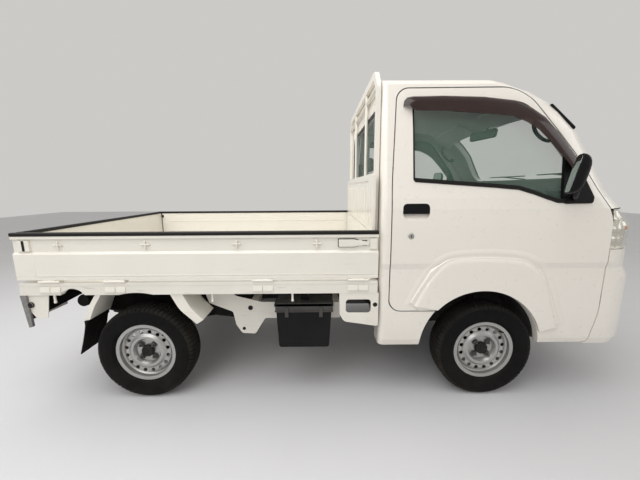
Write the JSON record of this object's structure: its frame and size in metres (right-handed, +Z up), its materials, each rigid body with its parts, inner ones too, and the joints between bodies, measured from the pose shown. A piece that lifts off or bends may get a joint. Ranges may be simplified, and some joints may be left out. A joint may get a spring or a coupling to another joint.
{
  "type": "kei truck with drop-side bed",
  "caption": "Small cab-forward truck with a two-door cab, steered front wheels, and a low flat bed closed by drop gates and a guard frame.",
  "frame": {"origin": "on the floor, under the middle of the truck's overall length and width", "axes": "+X forwards, +Z up, -Y the driver's side, on the right"},
  "size_m": [3.395, 1.79, 1.78],
  "materials": {
    "body_white": "gloss white paint",
    "bed_white": "gloss white paint, a little scuffed inside",
    "frame_black": "satin black paint with dust",
    "engine_metal": "cast metal",
    "black_plastic": "grained black plastic",
    "tank_black": "satin black",
    "exhaust_steel": "heat-tinted steel",
    "wheel_silver": "silver paint",
    "tyre_rubber": "tyre rubber",
    "clear_glass": "slightly green glass",
    "lamp_clear": "clear lens",
    "lamp_red": "red lens",
    "cabin_plastic": "grained dark grey plastic",
    "seat_fabric": "dark grey cloth",
    "cap_rubber": "black edge rubber"
  },
  "bodies": {
    "truck": {"chassis_frame": "frame_black", "engine_block": "engine_metal", "gearbox_and_propshaft": "engine_metal", "rear_axle": "frame_black", "leaf_springs": "frame_black", "front_suspension": "frame_black", "battery_box": "black_plastic", "fuel_tank": "tank_black", "exhaust": "exhaust_steel", "cab_shell": "body_white", "cab_floor": "body_white", "windscreen": "clear_glass", "rear_window": "clear_glass", "front_panel": "body_white", "front_bumper": "body_white", "headlamps": "lamp_clear", "dashboard": "cabin_plastic", "steering_column": "cabin_plastic", "seat_right": "seat_fabric", "seat_left": "seat_fabric", "bed_floor": "bed_white", "gate_hinge_brackets": "bed_white", "mud_flaps": "black_plastic", "tail_lamps": "lamp_red", "headboard": "bed_white", "guard_frame": "bed_white", "wheel_guards": "bed_white", "side_members": "bed_white", "front_brackets": "bed_white", "rear_plates": "bed_white", "rope_hooks": "bed_white", "wipers": "black_plastic", "antenna": "black_plastic", "cab_controls": "cabin_plastic"},
    "steering_wheel": {"steering_wheel": "cabin_plastic"},
    "tail_gate": {"tail_gate": "bed_white", "tail_gate_cap": "cap_rubber"},
    "door_right": {"door_right": "body_white", "door_glass_right": "clear_glass", "door_mirror_right": "black_plastic", "door_handle_right": "black_plastic"},
    "side_gate_right": {"side_gate_right": "bed_white", "side_gate_cap_right": "cap_rubber"},
    "knuckle_right": {"knuckle_right": "frame_black"},
    "wheel_front_right": {"rim_front_right": "wheel_silver", "tyre_front_right": "tyre_rubber"},
    "wheel_rear_right": {"rim_rear_right": "wheel_silver", "tyre_rear_right": "tyre_rubber"},
    "door_left": {"door_left": "body_white", "door_glass_left": "clear_glass", "door_mirror_left": "black_plastic", "door_handle_left": "black_plastic"},
    "side_gate_left": {"side_gate_left": "bed_white", "side_gate_cap_left": "cap_rubber"},
    "knuckle_left": {"knuckle_left": "frame_black"},
    "wheel_front_left": {"rim_front_left": "wheel_silver", "tyre_front_left": "tyre_rubber"},
    "wheel_rear_left": {"rim_rear_left": "wheel_silver", "tyre_rear_left": "tyre_rubber"}
  },
  "joints": [
    {"name": "steer_right", "type": "hinge", "parent": "truck", "child": "knuckle_right", "pos_m": [0.821, -0.60483, 0.2685], "axis": [0, 0.1678, 0.9858], "range_deg": [-33, 33]},
    {"name": "steer_left", "type": "hinge", "parent": "truck", "child": "knuckle_left", "pos_m": [0.821, 0.60483, 0.2685], "axis": [0, -0.1678, 0.9858], "range_deg": [-33, 33]},
    {"name": "steering_wheel_turn", "type": "hinge", "parent": "truck", "child": "steering_wheel", "pos_m": [1.15, -0.335, 1.04], "axis": [-0.6, 0, 0.8], "range_deg": [-561, 561]},
    {"name": "spin_front_right", "type": "hinge", "parent": "knuckle_right", "child": "wheel_front_right", "pos_m": [0.821, -0.6525, 0.2685], "axis": [0, 1, 0], "continuous": true},
    {"name": "spin_rear_right", "type": "hinge", "parent": "truck", "child": "wheel_rear_right", "pos_m": [-1.079, -0.6525, 0.2685], "axis": [0, 1, 0], "continuous": true},
    {"name": "spin_front_left", "type": "hinge", "parent": "knuckle_left", "child": "wheel_front_left", "pos_m": [0.821, 0.6525, 0.2685], "axis": [0, 1, 0], "continuous": true},
    {"name": "spin_rear_left", "type": "hinge", "parent": "truck", "child": "wheel_rear_left", "pos_m": [-1.079, 0.6525, 0.2685], "axis": [0, 1, 0], "continuous": true},
    {"name": "door_right_swing", "type": "hinge", "parent": "truck", "child": "door_right", "pos_m": [1.381, -0.7185, 0.57], "axis": [0, 0, 1], "range_deg": [0, 68]},
    {"name": "side_gate_right_drop", "type": "hinge", "parent": "truck", "child": "side_gate_right", "pos_m": [-0.75, -0.7355, 0.694], "axis": [1, 0, 0], "range_deg": [0, 170]},
    {"name": "door_left_swing", "type": "hinge", "parent": "truck", "child": "door_left", "pos_m": [1.381, 0.7185, 0.57], "axis": [0, 0, -1], "range_deg": [0, 68]},
    {"name": "side_gate_left_drop", "type": "hinge", "parent": "truck", "child": "side_gate_left", "pos_m": [-0.75, 0.7355, 0.694], "axis": [-1, 0, 0], "range_deg": [0, 170]},
    {"name": "tail_gate_drop", "type": "hinge", "parent": "truck", "child": "tail_gate", "pos_m": [-1.691, 0, 0.694], "axis": [0, -1, 0], "range_deg": [0, 170]}
  ],
  "couplings": [
    {"joint": "steer_left", "follows": "steer_right", "ratio": 1},
    {"joint": "steering_wheel_turn", "follows": "steer_right", "ratio": 17}
  ]
}
